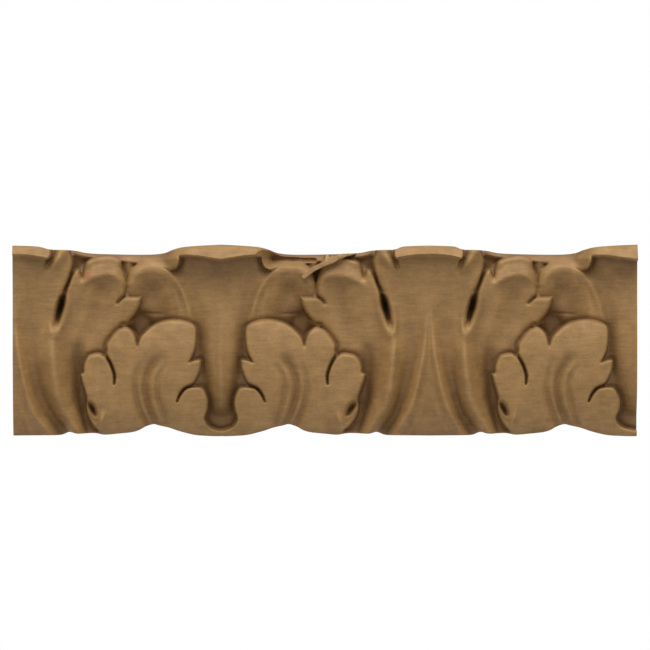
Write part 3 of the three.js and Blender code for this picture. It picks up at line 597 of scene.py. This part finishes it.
# The run: the half repeats side by side, each mirrored from the one before, then the
# walls round the border, drawn back to the flat back, and the back itself. The hand left the
# front a little uneven: how far it rises and falls, and over what length, in millimetres.
UNEVENNESS = 0.12
UNEVENNESS_SIZE = 2.5
UNEVENNESS_DETAIL = 2
RUN_SEED = 7
NOISE_MIDDLE = 0.5
# Corners nearer than this, in metres, are one corner.
SAME_CORNER = 1e-6
QUARTER_TURN = math.pi / 2
run = bpy.data.node_groups.new("Run of half repeats", "GeometryNodeTree")
run.interface.new_socket("Half repeat", in_out="INPUT", socket_type="NodeSocketGeometry")
run.interface.new_socket("Run", in_out="OUTPUT", socket_type="NodeSocketGeometry")
for name, kind in [("Length", "NodeSocketFloat"), ("Count", "NodeSocketInt"),
                   ("Unevenness", "NodeSocketFloat"), ("Unevenness size", "NodeSocketFloat"),
                   ("Seed", "NodeSocketFloat"), ("Material", "NodeSocketMaterial")]:
    run.interface.new_socket(name, in_out="INPUT", socket_type=kind)
given = add_node(run, "NodeGroupInput").outputs

# An odd half repeat is mirrored, so its axis stands one length further along.
index = add_node(run, "GeometryNodeInputIndex").outputs[0]
mirrored = calculated(run, "MODULO", index, 2)
first = calculated(run, "MULTIPLY", given["Count"], -0.5)
step = calculated(run, "ADD", index, mirrored)
steps = calculated(run, "ADD", step, first)
along = calculated(run, "MULTIPLY", steps, given["Length"])
spot = add_node(run, "ShaderNodeCombineXYZ", {"X": along}).outputs[0]
spots = add_node(run, "GeometryNodePoints", {"Count": given["Count"], "Position": spot}).outputs[0]
side = calculated(run, "MULTIPLY_ADD", mirrored, -2, 1)
mirror = add_node(run, "ShaderNodeCombineXYZ", {"X": side, "Y": 1, "Z": 1}).outputs[0]
laid = add_node(run, "GeometryNodeInstanceOnPoints", {
    "Points": spots, "Instance": given["Half repeat"], "Scale": mirror}).outputs[0]
real = add_node(run, "GeometryNodeRealizeInstances", {"Geometry": laid}).outputs[0]

# The faces that mirroring turned to the back are turned to the front again.
facing = add_node(run, "GeometryNodeInputNormal").outputs["Normal"]
backward = add_node(run, "ShaderNodeSeparateXYZ", {0: facing}).outputs["Y"]
turned = add_node(
    run, "FunctionNodeCompare", {0: backward, 1: 0}, operation="GREATER_THAN").outputs[0]
outward = add_node(run, "GeometryNodeFlipFaces", {"Mesh": real, "Selection": turned}).outputs[0]
joined = add_node(run, "GeometryNodeMergeByDistance", {
    "Geometry": outward, "Distance": SAME_CORNER}).outputs[0]

# The unevenness is a slow rise and fall of the surface.
position = add_node(run, "GeometryNodeInputPosition").outputs[0]
lumps = calculated(run, "DIVIDE", 1, given["Unevenness size"])
waver = add_node(run, "ShaderNodeTexNoise", {
    "Vector": position, "W": given["Seed"], "Scale": lumps, "Detail": UNEVENNESS_DETAIL},
    noise_dimensions="4D").outputs[0]
swing = calculated(run, "SUBTRACT", waver, NOISE_MIDDLE)
rise = calculated(run, "MULTIPLY", swing, given["Unevenness"])
shift = add_node(run, "ShaderNodeCombineXYZ", {"Y": rise}).outputs[0]
handmade = add_node(run, "GeometryNodeSetPosition", {
    "Geometry": joined, "Offset": shift}).outputs[0]

# The open edges are drawn back to the plane of the back, and the back is filled in.
faces_beside = add_node(run, "GeometryNodeInputMeshEdgeNeighbors").outputs[0]
open_edges = add_node(
    run, "FunctionNodeCompare", {2: faces_beside, 3: 1}, data_type="INT",
    operation="EQUAL").outputs[0]
walls = add_node(run, "GeometryNodeExtrudeMesh", {
    "Mesh": handmade, "Selection": open_edges, "Offset Scale": 0}, mode="EDGES").outputs
on_back = add_node(
    run, "ShaderNodeVectorMath", {0: position, 1: (1, 0, 1)}, operation="MULTIPLY").outputs[0]
body = add_node(run, "GeometryNodeSetPosition", {
    "Geometry": walls["Mesh"], "Selection": walls["Top"], "Position": on_back}).outputs[0]
loop = add_node(run, "GeometryNodeMeshToCurve", {
    "Mesh": body, "Selection": walls["Top"]}).outputs[0]
lying = add_node(run, "GeometryNodeTransform", {
    "Geometry": loop, "Rotation": (QUARTER_TURN, 0, 0)}).outputs[0]
filled = add_node(run, "GeometryNodeFillCurve", {"Curve": lying}).outputs[0]
back = add_node(run, "GeometryNodeTransform", {
    "Geometry": filled, "Rotation": (-QUARTER_TURN, 0, 0)}).outputs[0]
whole = add_node(run, "GeometryNodeJoinGeometry")
run.links.new(back, whole.inputs[0])
run.links.new(body, whole.inputs[0])
closed = add_node(run, "GeometryNodeMergeByDistance", {
    "Geometry": whole.outputs[0], "Distance": SAME_CORNER}).outputs[0]
finished = add_node(run, "GeometryNodeRealizeInstances", {"Geometry": closed}).outputs[0]
dressed = add_node(run, "GeometryNodeSetMaterial", {
    "Geometry": finished, "Material": given["Material"]}).outputs[0]
add_node(run, "NodeGroupOutput", {0: dressed})


def noise(tree, place, size, detail, roughness):
    """Noise with lumps of about this size in millimetres."""
    return add_node(tree, "ShaderNodeTexNoise", {
        "Vector": place, "Scale": 1 / (size * MM), "Detail": detail,
        "Roughness": roughness}).outputs[0]


def ranged(tree, value, span, result):
    """A value carried from one span to another, and held at its ends."""
    return add_node(tree, "ShaderNodeMapRange", {
        "Value": value, "From Min": span[0], "From Max": span[1],
        "To Min": result[0], "To Max": result[1]}).outputs[0]


def tinted(tree, share, colour, other):
    """One colour mixed into the other by a share."""
    inputs = {0: share, 6: colour, 7: other}
    return add_node(tree, "ShaderNodeMix", inputs, data_type="RGBA").outputs[2]


# The composition is matt and brown, streaked along its length by the grain of the boxwood mould.
# Its hollows are darkened with stain and with painted shade, its edges are rubbed pale, and the
# sliver of flash is painted pale as a highlight.
FACE_COLOUR = (0.280, 0.154, 0.050, 1)
STAIN_AND_SHADE_COLOUR = (0.105, 0.046, 0.014, 1)
RUBBED_AND_HIGHLIGHT_COLOUR = (0.38, 0.235, 0.1, 1)
RED_COLOUR = (0.27, 0.11, 0.04, 1)

# How hollow or how proud a place is, in millimetres, from where the stain and painted shade, and
# the rubbing and painted highlight, start to where each is at its most, and how strong that is.
STAIN_AND_SHADE_SPAN = (0.05, 1.2)
STAIN_AND_SHADE_SHARE = (0, 0.58)
RUBBED_AND_HIGHLIGHT_SPAN = (-0.1, -0.6)
RUBBED_AND_HIGHLIGHT_SHARE = (0, 0.5)

# The sizes in millimetres of the mottling, the grain, the grit and the few red specks, the
# detail and roughness of the noise that gives each, and where its noise makes a speck.
MOTTLE_SIZE = 1.8
MOTTLE_NOISE = (4, 0.6)
GRAIN_LENGTH = 2.4
GRAIN_HEIGHT = 0.3
GRAIN_LEAN = 0.15
GRAIN_NOISE = (3, 0.55)
GRIT_SIZE = 0.16
GRIT_NOISE = (2, 0.6)
SPECK_SIZE = 2.6
SPECK_NOISE = (2, 0.7)
SPECK_SPAN = (0.64, 0.76)
SPECK_SHARE = (0, 0.6)

# How strongly these lighten and darken the colour, how rough the mottling makes the surface,
# and how far in millimetres the grain and the grit stand up.
TONE_STRENGTH = 0.75
GRAIN_TO_MOTTLE = 0.7
GRIT_TO_MOTTLE = 0.7
SHEEN_SPAN = (0.3, 0.7)
SHEEN_ROUGHNESS = (0.72, 0.56)
BUMP_STRENGTH = 0.5
GRAIN_RELIEF = 0.05
GRIT_RELIEF = 0.03
composition = bpy.data.materials.new("composition")
composition.use_nodes = True
nodes = composition.node_tree
surface = nodes.nodes["Principled BSDF"]
place = add_node(nodes, "ShaderNodeTexCoord").outputs["Object"]
hollow = add_node(nodes, "ShaderNodeAttribute", attribute_name="hollow").outputs["Fac"]
# Painted shade: the stain colour darkens the hollows where shade falls, as well as staining them.
stain_and_shade = ranged(nodes, hollow, STAIN_AND_SHADE_SPAN, STAIN_AND_SHADE_SHARE)
# Rubbing pales the raised edges, and the same pale colour is the painted highlight on the sliver of
# flash.
rubbed_and_highlight = ranged(nodes, hollow, RUBBED_AND_HIGHLIGHT_SPAN, RUBBED_AND_HIGHLIGHT_SHARE)

mottle = noise(nodes, place, MOTTLE_SIZE, *MOTTLE_NOISE)
stretch = (GRAIN_HEIGHT / GRAIN_LENGTH, GRAIN_LEAN, 1)
stretched = add_node(
    nodes, "ShaderNodeVectorMath", {0: place, 1: stretch}, operation="MULTIPLY").outputs[0]
grain = noise(nodes, stretched, GRAIN_HEIGHT, *GRAIN_NOISE)
grit = noise(nodes, place, GRIT_SIZE, *GRIT_NOISE)
specks = noise(nodes, place, SPECK_SIZE, *SPECK_NOISE)
red = ranged(nodes, specks, SPECK_SPAN, SPECK_SHARE)

tone = calculated(nodes, "SUBTRACT", mottle, NOISE_MIDDLE)
streak = calculated(nodes, "SUBTRACT", grain, NOISE_MIDDLE)
speckle = calculated(nodes, "SUBTRACT", grit, NOISE_MIDDLE)
with_streaks = calculated(nodes, "MULTIPLY_ADD", streak, GRAIN_TO_MOTTLE, tone)
with_speckle = calculated(nodes, "MULTIPLY_ADD", speckle, GRIT_TO_MOTTLE, with_streaks)
bright = calculated(nodes, "MULTIPLY_ADD", with_speckle, TONE_STRENGTH, 1)

rubbed_and_highlit_face = tinted(nodes, rubbed_and_highlight, FACE_COLOUR, RUBBED_AND_HIGHLIGHT_COLOUR)
stained_and_shaded_face = tinted(nodes, stain_and_shade, rubbed_and_highlit_face, STAIN_AND_SHADE_COLOUR)
dotted = tinted(nodes, red, stained_and_shaded_face, RED_COLOUR)
colour = add_node(
    nodes, "ShaderNodeVectorMath", {0: dotted, 3: bright}, operation="SCALE").outputs[0]
nodes.links.new(colour, surface.inputs["Base Color"])
sheen = ranged(nodes, mottle, SHEEN_SPAN, SHEEN_ROUGHNESS)
nodes.links.new(sheen, surface.inputs["Roughness"])
lines = add_node(nodes, "ShaderNodeBump", {
    "Strength": BUMP_STRENGTH, "Distance": GRAIN_RELIEF * MM, "Height": grain}).outputs[0]
rough = add_node(nodes, "ShaderNodeBump", {
    "Strength": BUMP_STRENGTH, "Distance": GRIT_RELIEF * MM, "Height": grit,
    "Normal": lines}).outputs[0]
nodes.links.new(rough, surface.inputs["Normal"])


def set_input(modifier, name, value):
    """Sets a modifier's input by the identifier of the socket that has this name."""
    for item in modifier.node_group.interface.items_tree:
        if item.name == name and item.in_out == "INPUT":
            modifier[item.identifier] = value


def made_plain(piece):
    """Turns the result of a piece's modifiers into its plain mesh."""
    bpy.context.view_layer.update()
    shown = piece.evaluated_get(bpy.context.evaluated_depsgraph_get())
    plain = bpy.data.meshes.new_from_object(shown)
    piece.modifiers.clear()
    piece.data = plain


laying = moulding.modifiers.new("Run of half repeats", "NODES")
laying.node_group = run
for name, value in [("Length", HALF_REPEAT * MM), ("Count", HALF_REPEATS),
                    ("Unevenness", UNEVENNESS * MM), ("Unevenness size", UNEVENNESS_SIZE * MM),
                    ("Seed", float(RUN_SEED)), ("Material", composition)]:
    set_input(laying, name, value)
made_plain(moulding)

# The wander of the carver's hand, which shifts each half repeat's lobes a little. The far end
# of the last half repeat still belongs to it.
END_ALLOWANCE = 1e-6
corners = np.zeros(len(moulding.data.vertices) * 3, np.float32)
moulding.data.vertices.foreach_get("co", corners)
corners = corners.reshape(-1, 3)
halves = corners[:, 0] / (HALF_REPEAT * MM) + HALF_REPEATS / 2
halves = np.clip(halves, 0, HALF_REPEATS - END_ALLOWANCE)
number = halves.astype(int)
from_tall_axis = 100 * np.where(number % 2 == 1, 1 - halves % 1, halves % 1)
for index, (most, rise_places, fall_places) in enumerate(DRIFT):
    drift = across(most) * ease(from_tall_axis, *rise_places)
    drift = drift * (1 - ease(from_tall_axis, *fall_places)) * MM
    corners[:, 0] -= np.where(number == index, drift * (-1) ** index, 0)

# What stands further than this off the back, in millimetres, can be cut or built up.
BACK_ZONE = 1
wide, deep, high = (corners / MM).T
hollowness = np.zeros(len(corners), np.float32)
moulding.data.attributes["hollow"].data.foreach_get("value", hollowness)

# Under the top rim of the second half repeat a gouge ran along and left a groove, darkened along it
# with stain and with painted shade, the shadow under the rim. Each point of its line is across and
# up in millimetres from the middle.
GROOVE_LINE = [(-6.8, 11), (-5.5, 10.9), (-3, 10.85), (-1.4, 10.8)]
GROOVE_HALF_WIDTH = 0.15
GROOVE_DEPTH = 3.9
GROOVE_WALL_DROP = 2.2
GROOVE_STAIN_AND_SHADE = 0.8
GROOVE_STAIN_AND_SHADE_WIDTH = 1
apart = np.full(len(corners), np.inf)
for start, end in zip(GROOVE_LINE[:-1], GROOVE_LINE[1:]):
    apart = np.minimum(apart, np.sqrt(nearest(wide, high, start, end)[1]))
groove = GROOVE_DEPTH + GROOVE_WALL_DROP * np.maximum(apart - GROOVE_HALF_WIDTH, 0)
# Stain and painted shade: a band along the groove is made hollower, so it takes the dark stain
# colour.
hollowness = np.maximum(hollowness, GROOVE_STAIN_AND_SHADE * np.exp(-(apart / GROOVE_STAIN_AND_SHADE_WIDTH) ** 2))
deep = np.where(deep < -BACK_ZONE, np.maximum(deep, -groove), deep)

# A sliver of flash that the mould left lies across the top of that half repeat, with a stub above
# it, painted pale as a highlight where it stands in front. Each point of its lines is across, up
# and depth.
SLIVER_LINES = [
    [
        (-2.81, 8.56, 6.6), (-1.62, 9.49, 6.8), (-0.24, 10.16, 7), (0.87, 10.56, 7.2),
        (1.8, 11.1, 7.2), (2.74, 11.5, 6.8), (3.81, 11.77, 6),
    ],
    [(0.28, 11.6, 5.4), (0.32, 10.4, 6.2)],
]
SLIVER_HALF_WIDTH = 0.26
SLIVER_WALL_DROP = 30
SLIVER_PAINTED_HIGHLIGHT = -0.55
for line in SLIVER_LINES:
    for start, end in zip(line[:-1], line[1:]):
        share, apart = nearest(wide, high, start, end)
        outside = np.maximum(np.sqrt(apart) - SLIVER_HALF_WIDTH, 0)
        fin = mix(start[2], end[2], share) - SLIVER_WALL_DROP * outside
        # Painted highlight: the sliver is given a proud value, so it takes the rubbed pale colour.
        hollowness = np.where((deep < -BACK_ZONE) & (-fin < deep), SLIVER_PAINTED_HIGHLIGHT, hollowness)
        deep = np.where(deep < -BACK_ZONE, np.minimum(deep, -fin), deep)
moulding.data.attributes["hollow"].data.foreach_set("value", hollowness.astype(np.float32))
corners[:, 1] = deep * MM
moulding.data.vertices.foreach_set("co", corners.ravel())

# The facets are thinned out where the front is nearly flat, and edges sharper than this
# angle in degrees stay crisp.
TRIANGLES = 190000
CRISP_ANGLE = 60
moulding.data.calc_loop_triangles()
thinner = moulding.modifiers.new("Thinner", "DECIMATE")
thinner.ratio = TRIANGLES / len(moulding.data.loop_triangles)
thinner.use_collapse_triangulate = True
made_plain(moulding)
moulding.data.shade_smooth()
moulding.data.set_sharp_from_angle(angle=math.radians(CRISP_ANGLE))
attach(moulding, "root")
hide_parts("leaf_moulding")


# The pale studio floor, a round painted sheet well below the moulding, which its back holds
# up. Sizes in metres.
FLOOR_DROP = 0.3
FLOOR_RADIUS = 2.5
FLOOR_SIDES = 96
FLOOR_COLOUR = (0.8, 0.8, 0.8, 1)
FLOOR_ROUGHNESS = 0.8
bpy.ops.mesh.primitive_circle_add(
    vertices=FLOOR_SIDES, radius=FLOOR_RADIUS, fill_type="NGON", location=(0, 0, -FLOOR_DROP))
floor = bpy.context.object
floor.name = "studio_floor"
paint = bpy.data.materials.new("pale floor")
paint.use_nodes = True
coat = paint.node_tree.nodes["Principled BSDF"]
coat.inputs["Base Color"].default_value = FLOOR_COLOUR
coat.inputs["Roughness"].default_value = FLOOR_ROUGHNESS
floor.data.materials.append(paint)

# The studio's soft light: a wide lamp above and in front, and pale walls all round, which
# show plain white. Sizes in metres, the lamp's height as an angle in degrees.
WHITE = (1, 1, 1, 1)
LAMP_ELEVATION = 60
LAMP_DISTANCE = 0.8
LAMP_SIZE = (1.1, 0.7)
LAMP_POWER = 10.5
FILL = 0.36
lamp_data = bpy.data.lights.new("studio lamp", "AREA")
lamp_data.shape = "RECTANGLE"
lamp_data.size, lamp_data.size_y = LAMP_SIZE
lamp_data.energy = LAMP_POWER
lamp = bpy.data.objects.new("studio lamp", lamp_data)
bpy.context.scene.collection.objects.link(lamp)
elevation = math.radians(LAMP_ELEVATION)
lamp.location = (0, -LAMP_DISTANCE * math.cos(elevation), LAMP_DISTANCE * math.sin(elevation))
lamp.rotation_euler = (-lamp.location).to_track_quat("-Z", "Y").to_euler()

world = bpy.data.worlds.new("studio")
bpy.context.scene.world = world
world.use_nodes = True
sky = world.node_tree
sky.nodes.clear()
seen = add_node(sky, "ShaderNodeLightPath").outputs["Is Camera Ray"]
fill = add_node(sky, "ShaderNodeBackground", {"Color": WHITE, "Strength": FILL}).outputs[0]
backdrop = add_node(sky, "ShaderNodeBackground", {"Color": WHITE, "Strength": 1}).outputs[0]
studio_walls = add_node(sky, "ShaderNodeMixShader", {0: seen, 1: fill, 2: backdrop}).outputs[0]
add_node(sky, "ShaderNodeOutputWorld", {0: studio_walls})
bpy.context.scene.view_settings.view_transform = "Standard"

# The camera stands straight in front, far off with a long lens. The frame's width, the aim
# and the nearest and furthest distance that it sees are in metres, the lens in millimetres.
FRAME_WIDTH = 0.0869
LENS = 500
AIM = (0, -0.005, 0.0021)
NEAREST_SEEN = 0.01
FURTHEST_SEEN = 10
camera_data = bpy.data.cameras.new("camera")
camera_data.lens = LENS
camera = bpy.data.objects.new("camera", camera_data)
bpy.context.scene.collection.objects.link(camera)
distance = FRAME_WIDTH * LENS / camera_data.sensor_width
camera.location = Vector(AIM) + Vector((0, -distance, 0))
camera.rotation_euler = (QUARTER_TURN, 0, 0)
camera_data.clip_start = NEAREST_SEEN
camera_data.clip_end = FURTHEST_SEEN
bpy.context.scene.camera = camera
